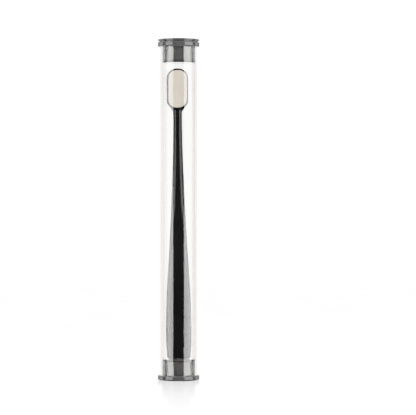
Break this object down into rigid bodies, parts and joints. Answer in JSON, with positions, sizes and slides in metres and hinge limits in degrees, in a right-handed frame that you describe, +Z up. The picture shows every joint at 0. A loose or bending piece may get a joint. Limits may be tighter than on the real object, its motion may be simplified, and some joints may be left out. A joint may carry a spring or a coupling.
{
  "type": "toothbrush in tube case",
  "caption": "Long-handled toothbrush with a dense block of fine bristles, standing in a clear round tube case that a flanged plug cap closes at each end.",
  "frame": {"origin": "centre of the ring that the bottom cap stands on, on the tube's axis", "axes": "+Z up the tube's axis, bristles facing -Y"},
  "size_m": [0.0256, 0.0256, 0.2062],
  "materials": {
    "clear_tube": "clear gloss",
    "cap": "gloss",
    "seal": "matt",
    "handle": "high gloss",
    "plate": "gloss",
    "bristle": "fine filaments"
  },
  "bodies": {
    "case": {"tube": "clear_tube"},
    "top_cap": {"top_cap": "cap", "top_cap_disc": "cap", "top_seal": "seal"},
    "bottom_cap": {"bottom_cap": "cap", "bottom_seal": "seal"},
    "brush": {"handle": "handle", "bristle_plate": "plate", "bristles": "bristle"}
  },
  "joints": [
    {"name": "brush_slide", "type": "slide", "parent": "case", "child": "brush", "axis": [0, 0, 1], "range_m": [0, 0.192]},
    {"name": "top_cap_slide", "type": "slide", "parent": "case", "child": "top_cap", "axis": [0, 0, 1], "range_m": [0, 0.24]},
    {"name": "bottom_cap_slide", "type": "slide", "parent": "case", "child": "bottom_cap", "axis": [0, 0, -1], "range_m": [0, 0.03]}
  ],
  "couplings": [
    {"joint": "top_cap_slide", "follows": "brush_slide", "ratio": 1.25}
  ]
}
